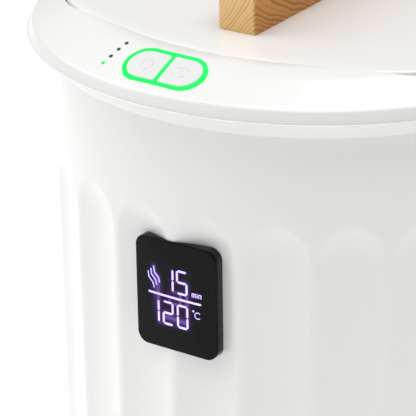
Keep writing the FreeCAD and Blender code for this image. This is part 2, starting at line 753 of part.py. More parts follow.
def inner_bucket():
    out_r = BUCKET_IN_R + BUCKET_T
    rim_z = LEDGE_Z + BUCKET_T
    floor = BUCKET_FLOOR_Z
    k = math.sqrt(0.5)
    ro = BUCKET_CORNER_R + BUCKET_T
    ri = BUCKET_CORNER_R
    cx, cz = BUCKET_IN_R - ri, floor + ri
    edges = [
        line(V(0, 0, floor), V(cx, 0, floor)),
        arc(V(cx, 0, floor), V(cx + ri * k, 0, cz - ri * k), V(BUCKET_IN_R, 0, cz)),
        line(V(BUCKET_IN_R, 0, cz), V(BUCKET_IN_R, 0, rim_z)),
        line(V(BUCKET_IN_R, 0, rim_z), V(FLANGE_R, 0, rim_z)),
        line(V(FLANGE_R, 0, rim_z), V(FLANGE_R, 0, LEDGE_Z)),
        line(V(FLANGE_R, 0, LEDGE_Z), V(out_r, 0, LEDGE_Z)),
        line(V(out_r, 0, LEDGE_Z), V(out_r, 0, cz)),
        arc(V(out_r, 0, cz), V(cx + ro * k, 0, cz - ro * k), V(cx, 0, floor - BUCKET_T)),
        line(V(cx, 0, floor - BUCKET_T), V(0, 0, floor - BUCKET_T)),
        line(V(0, 0, floor - BUCKET_T), V(0, 0, floor)),
    ]
    return revolve(Part.Face(Part.Wire(edges)), BUCKET_Y)


def heater_band():
    band = tube(HEATER_IN_R + HEATER_T, HEATER_IN_R, 118, 268, 0, BUCKET_Y)
    joint = block(-4, 4, BUCKET_Y + 60, BUCKET_Y + 140, 100, 300)
    return band.cut(joint)


def heater_plate():
    plate = disc(78, 57.2, 60.6, 0, BUCKET_Y)
    return plate.makeFillet(1.0, [e for e in plate.Edges if e.BoundBox.ZMax < 57.3])


def insulation_wrap():
    wrap = tube(WRAP_IN_R + WRAP_T, WRAP_IN_R, 74, 330, 0, BUCKET_Y)
    bosses = []
    for azimuth in RING_BOSS_AZIMUTHS:
        at = polar(RING_BOSS_R, azimuth)
        bosses.append(disc(5.2, LEDGE_Z - LEDGE_T - 28, 340, at.x, at.y))
    sensor_slot = block(90, 125, BUCKET_Y - 5, BUCKET_Y + 5, 84, 112)
    lead_slot = block(-15, 15, 100, 125, 60, 124)
    return wrap.cut(bosses + [sensor_slot, lead_slot])


def bottom_insulation():
    return tube(94, 24, 48.5, 56.5, 0, BUCKET_Y).cut(block(18, 100, BUCKET_Y - 4, BUCKET_Y + 4, 40, 60))


def heat_shield():
    plate = disc(SHIELD_R, SHIELD_Z, SHIELD_Z + 1, 0, BUCKET_Y)
    rim = tube(SHIELD_R, SHIELD_R - 1, SHIELD_Z, SHIELD_Z + 16, 0, BUCKET_Y)
    holes = []
    for azimuth in POST_AZIMUTHS:
        at = polar(POST_R, azimuth)
        holes.append(disc(1.8, SHIELD_Z - 5, SHIELD_Z + 5, at.x, at.y + BUCKET_Y))
    return plate.fuse(rim).cut(holes + [disc(12, SHIELD_Z - 5, SHIELD_Z + 5, 40, BUCKET_Y)])


def shield_posts():
    posts = []
    for azimuth in POST_AZIMUTHS:
        at = polar(POST_R, azimuth)
        posts.append(tube(4, 1.5, BASE_TOP, SHIELD_Z, at.x, at.y + BUCKET_Y))
    return group(posts)


def shield_screws():
    screws = []
    for azimuth in POST_AZIMUTHS:
        at = polar(POST_R, azimuth)
        screws.append(screw(at.x, at.y + BUCKET_Y, SHIELD_Z + 1, 9, 1.4, 2.7, 1.4))
    return group(screws)


def thermostat():
    can = disc(8, 50.6, 57.1, 0, BUCKET_Y)
    tabs = [centred_block(6, 0.8, 3, sx * 10.5, BUCKET_Y, 51.5) for sx in (-1, 1)]
    return fuse_all([can] + tabs)


def thermal_fuse():
    body = Part.makeCylinder(2.0, 14, V(-7, BUCKET_Y + 16, 54.9), V(1, 0, 0))
    legs = Part.makeCylinder(0.5, 24, V(-12, BUCKET_Y + 16, 54.9), V(1, 0, 0))
    return body.fuse(legs)


def temperature_sensor():
    x = HEATER_IN_R + 2.2
    bead = Part.makeCylinder(2.0, 16, V(x, BUCKET_Y, 90))
    plate = block(x + 1.2, x + 2.2, BUCKET_Y - 4.2, BUCKET_Y + 4.2, 92, 104)
    return bead.fuse(plate)


# ---------- lid and handle ----------

def handle_screw_places():
    return [HANDLE_Y + side * HANDLE_SCREW_REACH for side in (-1, 1)]


def lid_cover():
    body = prism(lid_outline(-LID_GAP / 2), LID_SKIRT_Z, LID_TOP_Z)
    top = [e for e in body.Edges if e.BoundBox.ZMin > LID_TOP_Z - 0.01]
    body = body.makeFillet(LID_EDGE_ROUND, top)
    inside = lid_outline(-LID_GAP / 2 - LID_WALL_T)
    body = body.cut(prism(inside, LID_SKIRT_Z - 1, LID_TOP_Z - LID_TOP_T))
    holes = [disc(2.2, RIM_Z - 5, LID_TOP_Z + 1, 0, y) for y in handle_screw_places()]
    bosses = []
    for x, y in LINER_SCREWS:
        boss = disc(3.2, LID_SKIRT_Z + 1.5, LID_TOP_Z - 2.0, x, y)
        bosses.append(boss.cut(disc(1.1, LID_SKIRT_Z, LID_TOP_Z - 6, x, y)))
    return body.cut(holes).multiFuse(bosses)


def lid_liner():
    plate = prism(lid_outline(-LID_GAP / 2 - LID_WALL_T - 0.2), LID_SKIRT_Z, LID_SKIRT_Z + 1.4)
    pan_z = LID_SKIRT_Z - 5.0
    pan = revolve(section([(0, pan_z), (87, pan_z), (90, pan_z + 1.5), (91.5, LID_SKIRT_Z + 0.5),
                           (90.2, LID_SKIRT_Z + 1.4), (86.5, pan_z + 1.4), (0, pan_z + 1.4)]), BUCKET_Y)
    inside = disc(88.0, pan_z + 1.4, LID_SKIRT_Z + 5, 0, BUCKET_Y)
    holes = [disc(1.3, LID_SKIRT_Z - 1, LID_SKIRT_Z + 3, x, y) for x, y in LINER_SCREWS]
    return plate.cut([inside] + holes).fuse(pan)


def lid_liner_screws():
    return group([screw(x, y, LID_SKIRT_Z, 8, 1.0, 2.2, 1.2, up=False) for x, y in LINER_SCREWS])


def lid_insulation():
    pad = disc(86.0, LID_SKIRT_Z - 3.4, LID_TOP_Z - 8.5, 0, BUCKET_Y)
    holes = [disc(4.5, RIM_Z - 40, RIM_Z + 40, x, y) for x, y in LINER_SCREWS]
    return pad.cut(holes)


def lid_seal():
    z0 = LEDGE_Z + BUCKET_T + LID_LIFT_CLEAR
    ring = tube(103.5, 100.5, z0, LID_SKIRT_Z, 0, BUCKET_Y)
    lip = revolve(section([(98.8, z0), (103.5, z0), (103.5, z0 + 0.8), (100.6, z0 + 0.9)]), BUCKET_Y)
    return ring.cut(lip).fuse(lip)


def wooden_handle():
    y0 = HANDLE_Y - HANDLE_LENGTH / 2
    bar_solid = block(-HANDLE_W / 2, HANDLE_W / 2, y0, y0 + HANDLE_LENGTH, LID_TOP_Z, LID_TOP_Z + HANDLE_H)
    edges = [e for e in bar_solid.Edges if e.BoundBox.ZMax > LID_TOP_Z + 1]
    bar_solid = bar_solid.makeFillet(HANDLE_ROUND, edges)
    holes = [disc(2.0, LID_TOP_Z - 1, LID_TOP_Z + 18, 0, y) for y in handle_screw_places()]
    return bar_solid.cut(holes)


def handle_screws():
    seat = LID_TOP_Z - LID_TOP_T - WASHER_T
    return group([screw(0, y, seat, 20, 1.9, 3.6, 2.2, up=False) for y in handle_screw_places()])


def handle_washers():
    z1 = LID_TOP_Z - LID_TOP_T
    return group([tube(6, 2.1, z1 - WASHER_T, z1, 0, y) for y in handle_screw_places()])


# ---------- base and power electronics ----------

def base_plate():
    z0, z1 = BODY_FOOT_Z, BASE_TOP
    plate = disc(BASE_R, z0, z1)
    holes = []
    for i in range(VENT_COUNT):
        slot = block(-2, 2, -72, -48, z0 - 1, z1 + 1)
        slot.rotate(V(0, 0, 0), UP, (i + 0.5) * 360 / VENT_COUNT)
        holes.append(slot)
    for azimuth in FOOT_AZIMUTHS:
        at = polar(FOOT_CIRCLE_R, azimuth)
        holes.append(disc(FOOT_HOLE_R, z0 - 1, z1 + 1, at.x, at.y))
    for azimuth in BASE_BOSS_AZIMUTHS:
        at = polar(BASE_BOSS_R, azimuth)
        holes.append(disc(1.7, z0 - 1, z1 + 1, at.x, at.y))
    plate = plate.cut(holes)
    standoffs = [tube(3.2, 1.2, z1 - 0.5, POWER_BOARD_Z, x, y) for x, y in POWER_BOARD_SCREWS]
    return plate.multiFuse(standoffs)


def base_screws():
    screws = []
    for azimuth in BASE_BOSS_AZIMUTHS:
        at = polar(BASE_BOSS_R, azimuth)
        screws.append(screw(at.x, at.y, BODY_FOOT_Z, 12, up=False))
    return group(screws)


def rubber_feet():
    feet = []
    for azimuth in FOOT_AZIMUTHS:
        at = polar(FOOT_CIRCLE_R, azimuth)
        pad = disc(FOOT_R, 0, FOOT_H, at.x, at.y)
        pad = pad.makeFillet(1.5, [e for e in pad.Edges if e.BoundBox.ZMax < 0.1])
        stem = disc(FOOT_HOLE_R - 0.1, FOOT_H - 1, BASE_TOP + 1.5, at.x, at.y)
        barb = Part.makeCone(FOOT_HOLE_R + 1.0, FOOT_HOLE_R - 0.4, 2.2, V(at.x, at.y, BASE_TOP + 0.1))
        feet.append(fuse_all([pad, stem, barb]))
    return group(feet)


def power_pcb():
    board = block(-51, 51, -13, 53, POWER_BOARD_Z, BOARD_TOP)
    holes = [disc(1.3, POWER_BOARD_Z - 2, POWER_BOARD_Z + 4, x, y) for x, y in POWER_BOARD_SCREWS]
    return board.cut(holes)


def power_pcb_screws():
    return group([screw(x, y, BOARD_TOP, 7, 1.1, 2.5, 1.5) for x, y in POWER_BOARD_SCREWS])


def transformer():
    core = centred_block(30, 22, 22, -26, 10, BOARD_TOP + 1)
    coil = centred_block(20, 28, 18, -26, 10, BOARD_TOP)
    return core.fuse(coil)


def relay():
    case = centred_block(15, 19, 15, 6, 12, BOARD_TOP)
    return case.makeFillet(0.8, [e for e in case.Edges if e.BoundBox.ZMin > BOARD_TOP + 1])


def capacitors():
    cans = []
    for x, y, r, h in ((26, 4, 6, 20), (26, 19, 5, 16), (37, 12, 4, 12)):
        can = disc(r, BOARD_TOP, BOARD_TOP + h, x, y)
        cans.append(can.makeFillet(0.8, [can.Edges[0]]))
    return group(cans)


def terminal_block():
    body = block(-18, 18, 39, 50, BOARD_TOP, BOARD_TOP + 11)
    wells = []
    for i in range(4):
        x = -13.5 + i * 9
        wells.append(disc(2.2, BOARD_TOP + 7, BOARD_TOP + 12, x, 44.5))
        wells.append(block(x - 2.2, x + 2.2, 46, 51, BOARD_TOP + 2, BOARD_TOP + 6))
    return body.cut(wells)


def cord_gland():
    """Bushing for the mains lead, through the wall at the back."""
    out_y = BODY_R + 0.4
    flange = Part.makeCylinder(10.5, 3.0, V(0, out_y, GLAND_Z), V(0, 1, 0))
    flange = flange.makeFillet(1.0, [e for e in flange.Edges if e.BoundBox.YMin > out_y + 2.9])
    barrel_r = GLAND_R - GLAND_FIT
    barrel = Part.makeCylinder(barrel_r, out_y - WALL_IN_R + 10, V(0, WALL_IN_R - 10, GLAND_Z), V(0, 1, 0))
    bore = Part.makeCylinder(CORD_BORE_R, 60, V(0, WALL_IN_R - 20, GLAND_Z), V(0, 1, 0))
    return flange.fuse(barrel).cut(bore)


def gland_nut():
    thickness, corner_r = 4.0, 12.0
    y0 = WALL_IN_R - 3 - thickness
    turns = [math.radians(60 * i) for i in range(6)]
    corners = [V(corner_r * math.cos(a), y0, GLAND_Z + corner_r * math.sin(a)) for a in turns]
    hexagon = Part.Face(Part.makePolygon(corners + corners[:1])).extrude(V(0, thickness, 0))
    thread = Part.makeCylinder(GLAND_R - GLAND_FIT, 30, V(0, y0 - 11, GLAND_Z), V(0, 1, 0))
    return hexagon.cut(thread)


# ---------- inner wiring ----------

def control_cable():
    points = [V(3.2, -108.3, RIM_Z - 6.7), V(3.2, -109, RIM_Z - 20), V(8, -112.5, RIM_Z - 60),
              V(8, -112.5, 52), V(8, -92, 30), V(8, -40, 20), V(8, -10, 19)]
    return wire_run(points, 1.6, 6)


def display_cable():
    z = DISPLAY_TOP_Z - DISPLAY_H + 7
    x = DISPLAY_X
    points = [V(x, -117.4, z), V(x, -112.5, z), V(x, -112.5, 56), V(x, -94, 33), V(x, -40, 21),
              V(x, -10, 19.5)]
    return wire_run(points, 1.4, 4.4)


def heater_leads():
    leads = []
    for x in (-4.5, 4.5):
        points = [V(x, 50.2, BOARD_TOP + 4), V(x, 72, BOARD_TOP + 4), V(x * 1.6, 113.5, 44),
                  V(x * 1.6, 114.0, 84), V(x * 2.2, 110.5, 117)]
        leads.append(wire_run(points, 1.1, 8))
    return group(leads)


def export(name, shape):
    shape.exportStep("parts/" + name + ".step")


def main():
    os.makedirs("parts", exist_ok=True)
    nodes = {
        "outer_shell": outer_shell(),
        "control_ring": control_ring(),
        "ring_screws": ring_screws(),
        "button_light_guide": button_light_guide(),
        "power_button": half_button(-1),
        "mode_button": half_button(1),
        "indicator_lens_on": indicator_lenses(0, 1),
        "indicator_lenses_off": indicator_lenses(1, DOT_COUNT),
        "control_pcb": control_pcb(),
        "control_pcb_screws": control_pcb_screws(),
        "tact_switches": tact_switches(),
        "status_leds": status_leds(),
        "display_housing": display_housing(),
        "display_window": display_window(),
        "display_figures": display_figures(),
        "display_light_box": display_light_box(),
        "display_pcb": display_pcb(),
        "display_screws": display_screws(),
        "inner_bucket": inner_bucket(),
        "heater_band": heater_band(),
        "heater_plate": heater_plate(),
        "insulation_wrap": insulation_wrap(),
        "bottom_insulation": bottom_insulation(),
        "heat_shield": heat_shield(),
        "shield_posts": shield_posts(),
        "shield_screws": shield_screws(),
        "thermostat": thermostat(),
        "thermal_fuse": thermal_fuse(),
        "temperature_sensor": temperature_sensor(),
        "lid_cover": lid_cover(),
        "lid_liner": lid_liner(),
        "lid_liner_screws": lid_liner_screws(),
        "lid_insulation": lid_insulation(),
        "lid_seal": lid_seal(),
        "wooden_handle": wooden_handle(),
        "handle_screws": handle_screws(),
        "handle_washers": handle_washers(),
        "base_plate": base_plate(),
        "base_screws": base_screws(),
        "rubber_feet": rubber_feet(),
        "power_pcb": power_pcb(),
        "power_pcb_screws": power_pcb_screws(),
        "transformer": transformer(),
        "relay": relay(),
        "capacitors": capacitors(),
        "terminal_block": terminal_block(),
        "cord_gland": cord_gland(),
        "gland_nut": gland_nut(),
        "control_cable": control_cable(),
        "display_cable": display_cable(),
        "heater_leads": heater_leads(),
    }
    for name, shape in nodes.items():
        export(name, shape)


main()
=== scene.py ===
import json
import math

import bmesh
import bpy
import numpy as np
from mathutils import Matrix, Vector


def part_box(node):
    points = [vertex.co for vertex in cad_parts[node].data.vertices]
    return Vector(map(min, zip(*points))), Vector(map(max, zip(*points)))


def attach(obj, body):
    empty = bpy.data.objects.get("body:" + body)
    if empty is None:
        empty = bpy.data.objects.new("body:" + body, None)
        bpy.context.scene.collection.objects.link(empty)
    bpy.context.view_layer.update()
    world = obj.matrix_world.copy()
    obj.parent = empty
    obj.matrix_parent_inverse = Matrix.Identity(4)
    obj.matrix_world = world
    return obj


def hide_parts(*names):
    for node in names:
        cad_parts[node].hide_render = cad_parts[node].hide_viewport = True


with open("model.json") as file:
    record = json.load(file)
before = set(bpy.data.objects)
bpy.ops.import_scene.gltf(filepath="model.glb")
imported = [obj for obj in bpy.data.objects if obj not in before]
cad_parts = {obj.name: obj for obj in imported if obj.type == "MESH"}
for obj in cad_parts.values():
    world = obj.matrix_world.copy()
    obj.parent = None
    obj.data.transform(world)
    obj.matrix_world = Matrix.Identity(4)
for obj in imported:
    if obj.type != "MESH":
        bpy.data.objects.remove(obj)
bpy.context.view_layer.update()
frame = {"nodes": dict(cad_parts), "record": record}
SOLID_NODES = ("outer_shell", "control_ring", "inner_bucket", "lid_cover", "wooden_handle", "display_window",
               "display_housing", "cord_gland")
BOX = {node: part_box(node) for node in SOLID_NODES}

MM = 0.001

# ---------- sizes shared with the CAD model, in metres ----------

RIM_R = 137.0 * MM
RIM_Z = 360.0 * MM
SEAM_R = 139.6 * MM
SEAM_DROP = 6.6 * MM
SLOPE = math.radians(24.0)
CROWN_START_R = 120.0 * MM
CROWN_TOP_R = 109.5 * MM
CROWN_RISE = 9.8 * MM
CROWN_END_R = 105.0 * MM
CROWN_FALL = 0.177                      # slope of the ring's inner side
SKIN = 2.8 * MM
EDGE_ROUND = 3.2 * MM
LIP_ROUND = 0.8 * MM

LID_R = 122.1 * MM
LID_FRONT_Y = -100.1 * MM
LID_FRONT_R = 197.0 * MM
LID_CORNER_R = 62.0 * MM
LID_GAP = 0.7 * MM
LEDGE_T = 2.4 * MM

BODY_R = 129.0 * MM
WALL_IN_R = 122.6 * MM
COVE_R = 10.6 * MM
FLUTE_COUNT = 24
FLUTE_HALF_CHORD = 15.2 * MM
FLUTE_SAGITTA = 2.3 * MM
FLUTE_TOP_Z = RIM_Z - 61.4 * MM
FLUTE_EDGE = 0.32 * MM                  # how softly a flute's edge rolls over

BUCKET_Y = 8.0 * MM
BUCKET_HOLE_R = 99.2 * MM

PILL_R = 123.1 * MM
PILL_AZIMUTH = math.radians(-2.4)
PILL_HALF_LENGTH = 21.3 * MM
PILL_HALF_WIDTH = 10.4 * MM
GUIDE_T = 1.8 * MM
DIVIDER_T = 1.5 * MM
KEY_GAP = 0.3 * MM
KEY_PROUD = 0.5 * MM
KEY_ROUND = 0.45 * MM

PANE_FACE_R = 220.0 * MM
PANE_CORNER_R = 5.6 * MM
PANE_EDGE = 0.5 * MM
PANE_T = 1.6 * MM


# ---------- node and mesh helpers ----------

def add(tree, kind, inputs=None, **settings):
    """New shader node. An input's value may be a socket of another node."""
    node = tree.nodes.new("ShaderNode" + kind)
    for key, value in settings.items():
        setattr(node, key, value)
    for key, value in (inputs or {}).items():
        if isinstance(value, bpy.types.NodeSocket):
            tree.links.new(value, node.inputs[key])
        else:
            node.inputs[key].default_value = value
    return node


def calc(tree, operation, a, b=0.0, c=0.0):
    return add(tree, "Math", {0: a, 1: b, 2: c}, operation=operation).outputs[0]


def new_material(name):
    """Material with a Principled shader. Returns the material, its tree and the shader."""
    material = bpy.data.materials.new(name)
    material.use_nodes = True
    tree = material.node_tree
    tree.nodes.clear()
    shader = tree.nodes.new("ShaderNodeBsdfPrincipled")
    output = tree.nodes.new("ShaderNodeOutputMaterial")
    tree.links.new(shader.outputs["BSDF"], output.inputs["Surface"])
    return material, tree, shader


def coordinates(tree, scale=(1, 1, 1)):
    """Object coordinates in metres, stretched by a scale."""
    source = add(tree, "TexCoord").outputs["Object"]
    return add(tree, "Mapping", {"Vector": source, "Scale": scale}).outputs["Vector"]


def noise(tree, vector, scale, detail=3.0, roughness=0.5):
    return add(tree, "TexNoise", {"Vector": vector, "Scale": scale, "Detail": detail,
                                  "Roughness": roughness}).outputs["Fac"]


def ramp(tree, factor, stops):
    """Colour ramp from (position, linear colour) pairs."""
    node = add(tree, "ValToRGB", {"Fac": factor})
    elements = node.color_ramp.elements
    while len(elements) < len(stops):
        elements.new(0.5)
    for element, (position, color) in zip(elements, stops):
        element.position = position
        element.color = (*color, 1)
    return node.outputs["Color"]


def bump(tree, shader, height, strength, distance):
    node = add(tree, "Bump", {"Height": height, "Strength": strength, "Distance": distance})
    tree.links.new(node.outputs["Normal"], shader.inputs["Normal"])


def set_inputs(shader, **values):
    names = {"color": "Base Color", "roughness": "Roughness", "metallic": "Metallic", "ior": "IOR",
             "specular": "Specular IOR Level", "coat": "Coat Weight", "coat_roughness": "Coat Roughness",
             "sheen": "Sheen Weight", "anisotropic": "Anisotropic", "subsurface": "Subsurface Weight",
             "emission": "Emission Strength", "transmission": "Transmission Weight", "alpha": "Alpha"}
    for key, value in values.items():
        shader.inputs[names[key]].default_value = value


def shade(color, factor):
    return tuple(min(1.0, c * factor) for c in color)


def fillet(corners, steps=6):
    """Outline through (point, radius) corners, with a tangent arc of that radius at each."""
    points = []
    count = len(corners)
    for i, (corner, radius) in enumerate(corners):
        corner = np.array(corner, float)
        before = np.array(corners[i - 1][0], float) - corner
        after = np.array(corners[(i + 1) % count][0], float) - corner
        if radius <= 0:
            points.append(corner)
            continue
        before /= np.linalg.norm(before)
        after /= np.linalg.norm(after)
        half = math.acos(np.clip(before @ after, -1, 1)) / 2
        if half > math.radians(89):
            points.extend([corner] * (steps + 1))
            continue
        bisector = (before + after) / np.linalg.norm(before + after)
        centre = corner + bisector * radius / math.sin(half)
        start = corner + before * radius / math.tan(half) - centre
        end = corner + after * radius / math.tan(half) - centre
        turn = math.atan2(start[0] * end[1] - start[1] * end[0], start @ end)
        for k in range(steps + 1):
            a = turn * k / steps
            c, s = math.cos(a), math.sin(a)
            points.append(centre + np.array([c * start[0] - s * start[1], s * start[0] + c * start[1]]))
    return points


def mesh_object(name, vertices, faces, sharp=40):
    """Object of a closed mesh, with outward normals and smooth shading up to an angle."""
    mesh = bpy.data.meshes.new(name)
    mesh.from_pydata([tuple(v) for v in vertices], [], faces)
    work = bmesh.new()
    work.from_mesh(mesh)
    bmesh.ops.remove_doubles(work, verts=work.verts, dist=1e-7)
    bmesh.ops.recalc_face_normals(work, faces=work.faces)
    work.to_mesh(mesh)
    work.free()
    obj = bpy.data.objects.new(name, mesh)
    bpy.context.scene.collection.objects.link(obj)
    soften(obj, sharp)
    return obj


def soften(obj, sharp):
    obj.data.shade_smooth()
    obj.data.set_sharp_from_angle(angle=math.radians(sharp))


def torus_grid(columns):
    """Faces of a grid that closes both ways, from equal columns of points."""
    n, m = len(columns), len(columns[0])
    vertices = [p for column in columns for p in column]
    faces = []
    for i in range(n):
        for j in range(m):
            k, l = (i + 1) % n, (j + 1) % m
            faces.append((i * m + j, i * m + l, k * m + l, k * m + j))
    return vertices, faces


def lathe_columns(profile_at, azimuths):
    """One column of points for each azimuth, from a function that gives its (radius, z) profile."""
    columns = []
    for a in azimuths:
        s, c = math.sin(a), -math.cos(a)
        columns.append([(r * s, r * c, z) for r, z in profile_at(a)])
    return columns


def stack_loops(loops, name, sharp=40):
    """Closed solid through equal loops of 3-D points, with a face over the first and the last."""
    count = len(loops[0])
    vertices = [p for loop in loops for p in loop]
    faces = [tuple(range(count))]
    for k in range(len(loops) - 1):
        for i in range(count):
            j = (i + 1) % count
            faces.append((k * count + i, k * count + j, (k + 1) * count + j, (k + 1) * count + i))
    faces.append(tuple(range((len(loops) - 1) * count, len(loops) * count)))
    return mesh_object(name, vertices, faces, sharp)


def cut(obj, cutters, sharp=40):
    """Takes closed cutters out of obj and removes them."""
    for cutter in cutters:
        modifier = obj.modifiers.new("cut", "BOOLEAN")
        modifier.operation = "DIFFERENCE"
        modifier.solver = "EXACT"
        modifier.object = cutter
        apply_modifiers(obj)
        bpy.data.objects.remove(cutter)
    soften(obj, sharp)


def apply_modifiers(obj):
    graph = bpy.context.evaluated_depsgraph_get()
    graph.update()
    mesh = bpy.data.meshes.new_from_object(obj.evaluated_get(graph))
    obj.modifiers.clear()
    obj.data = mesh


def join(name, objects):
    """One object of several meshes that sit at the origin."""
    work = bmesh.new()
    for o in objects:
        work.from_mesh(o.data)
        bpy.data.objects.remove(o)
    mesh = bpy.data.meshes.new(name)
    work.to_mesh(mesh)
    work.free()
    obj = bpy.data.objects.new(name, mesh)
    bpy.context.scene.collection.objects.link(obj)
    return obj


def cylinder_cutter(start, direction, radius, length, count=48):
    """Closed round bar from a point along a direction."""
    direction = Vector(direction).normalized()
    side = direction.orthogonal().normalized()
    other = direction.cross(side)
    ring = [math.tau * i / count for i in range(count)]
    loops = [[Vector(start) + direction * d + side * radius * math.cos(a) + other * radius * math.sin(a)
              for a in ring] for d in (0.0, length)]
    return stack_loops(loops, "cutter")


def finish_piece(obj, body, node, material):
    obj.data.materials.clear()
    obj.data.materials.append(material)
    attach(obj, body)
    if node:
        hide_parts(node)
    return obj


# ---------- materials ----------

def plastic(name, color, roughness, variation=0.02, grain=1400.0, relief=0.02, **extra):
    """Moulded plastic: a slight cloudiness in the colour and a fine surface texture."""
    material, tree, shader = new_material(name)
    vector = coordinates(tree)
    cloud = noise(tree, vector, 22.0, 4.0)
    tint = ramp(tree, cloud, [(0.3, shade(color, 1 - variation)), (0.7, shade(color, 1 + variation))])
    tree.links.new(tint, shader.inputs["Base Color"])
    set_inputs(shader, roughness=roughness, **extra)
    bump(tree, shader, noise(tree, vector, grain, 2.0), relief, 0.0004)
    return material


def metal(name, color, roughness, stretch=(1, 1, 60), **extra):
    """Drawn or brushed metal, with fine lines across the stretched axis."""
    material, tree, shader = new_material(name)
    vector = coordinates(tree, stretch)
    lines = noise(tree, vector, 60.0, 6.0, 0.65)
    tint = ramp(tree, lines, [(0.3, shade(color, 0.9)), (0.7, shade(color, 1.06))])
    tree.links.new(tint, shader.inputs["Base Color"])
    set_inputs(shader, metallic=1.0, **extra)
    rough = add(tree, "MapRange", {"Value": lines, "To Min": roughness * 0.8, "To Max": roughness * 1.25})
    tree.links.new(rough.outputs["Result"], shader.inputs["Roughness"])
    bump(tree, shader, lines, 0.05, 0.0003)
    return material


def felt(name, color):
    """Needled fibre mat."""
    material, tree, shader = new_material(name)
    vector = coordinates(tree)
    fibres = noise(tree, vector, 900.0, 8.0, 0.8)
    tufts = noise(tree, vector, 130.0, 4.0)
    mix = calc(tree, "MULTIPLY_ADD", tufts, 0.5, calc(tree, "MULTIPLY", fibres, 0.5))
    tint = ramp(tree, mix, [(0.35, shade(color, 0.72)), (0.65, shade(color, 1.08))])
    tree.links.new(tint, shader.inputs["Base Color"])
    set_inputs(shader, roughness=0.95, sheen=0.3)
    bump(tree, shader, mix, 0.6, 0.002)
    return material


def board(name, color):
    """Circuit board: solder mask with lighter copper runs under it."""
    material, tree, shader = new_material(name)
    vector = coordinates(tree)
    brick = add(tree, "TexBrick", {"Vector": vector, "Scale": 160.0, "Mortar Size": 0.06, "Bias": -0.2,
                                   "Brick Width": 1.3, "Row Height": 0.4,
                                   "Color1": (*color, 1), "Color2": (*shade(color, 0.8), 1),
                                   "Mortar": (*shade(color, 1.9), 1)})
    tree.links.new(brick.outputs["Color"], shader.inputs["Base Color"])
    set_inputs(shader, roughness=0.35, coat=0.3)
    bump(tree, shader, brick.outputs["Fac"], 0.2, 0.0002)
    return material


def glow(name, color, pale, strength, axis_scale):
    """Milky plastic lit from behind, a little paler where the lamp is far."""
    material, tree, shader = new_material(name)
    vector = coordinates(tree, axis_scale)
    cloud = noise(tree, vector, 40.0, 2.0)
    tint = ramp(tree, cloud, [(0.35, color), (0.75, pale)])
    tree.links.new(tint, shader.inputs["Emission Color"])
    tree.links.new(tint, shader.inputs["Base Color"])
    set_inputs(shader, roughness=0.4, emission=strength, specular=0.2)
    return material


def pine(name):
    """Oiled pine sawn along the log: straight grain on the ends and top, arches on the side faces. The side
    faces take a darker, deeper copy of the wood tones by their normal: painted shade.
    """
    material, tree, shader = new_material(name)
    handle_lo, handle_hi = BOX["wooden_handle"]
    heart_z = handle_hi.z - 6.0 * MM            # height of the arches' axis
    bow = 22.0                                  # how quickly the rings curve, per metre
    taper = 0.33                                # how far the rings lean along the bar
    spacing = 2.15 * MM                         # between growth rings
    source = add(tree, "TexCoord").outputs["Object"]
    wander = add(tree, "TexNoise", {"Vector": source, "Scale": 26.0, "Detail": 2.0})
    shift = add(tree, "VectorMath", {0: wander.outputs["Color"], 1: (0.5, 0.5, 0.5)}, operation="SUBTRACT")
    moved = add(tree, "VectorMath", {0: shift.outputs[0], "Scale": 0.011}, operation="SCALE")
    bent = add(tree, "VectorMath", {0: source, 1: moved.outputs[0]}, operation="ADD")
    axes = add(tree, "SeparateXYZ", {0: bent.outputs[0]})
    x, y, z = axes.outputs
    rise = calc(tree, "SUBTRACT", z, heart_z)
    arch = calc(tree, "MULTIPLY", calc(tree, "MULTIPLY", rise, rise), bow)
    along = calc(tree, "MULTIPLY", calc(tree, "SUBTRACT", y, handle_lo.y), -taper)
    depth = calc(tree, "ADD", calc(tree, "ADD", x, arch), along)
    phase = calc(tree, "FRACT", calc(tree, "DIVIDE", depth, spacing))
    year = calc(tree, "FLOOR", calc(tree, "DIVIDE", depth, spacing))
    strength = add(tree, "TexWhiteNoise", {"W": year}, noise_dimensions="1D").outputs["Value"]
    line = calc(tree, "POWER", phase, 3.0)
    late = calc(tree, "MULTIPLY", line, calc(tree, "MULTIPLY_ADD", strength, 0.7, 0.3))
    fibre = noise(tree, coordinates(tree, (1, 0.04, 1)), 1500.0, 4.0, 0.7)
    tone = calc(tree, "ADD", calc(tree, "MULTIPLY", late, 0.85), calc(tree, "MULTIPLY", fibre, 0.2))
    ends = ramp(tree, tone, [(0.08, (0.92, 0.63, 0.31)), (0.45, (0.83, 0.44, 0.14)),
                             (0.9, (0.62, 0.24, 0.045))])
    # Painted shade: faces turned along x take this darker copy of the end and top tones.
    shaded_side_tones = ramp(tree, tone, [(0.08, (0.66, 0.30, 0.075)), (0.4, (0.50, 0.19, 0.032)),
                              (0.9, (0.20, 0.055, 0.004))])
    normal = add(tree, "SeparateXYZ", {0: add(tree, "NewGeometry").outputs["True Normal"]})
    sideways = calc(tree, "ABSOLUTE", normal.outputs[0])
    blend = add(tree, "MapRange", {"Value": sideways, "From Min": 0.25, "From Max": 0.85})
    wood_with_side_shade = add(tree, "Mix", {0: blend.outputs["Result"], 6: ends, 7: shaded_side_tones}, data_type="RGBA")
    tree.links.new(wood_with_side_shade.outputs[2], shader.inputs["Base Color"])
    set_inputs(shader, roughness=0.52, specular=0.35)
    bump(tree, shader, calc(tree, "SUBTRACT", fibre, late), 0.25, 0.0004)
    return material


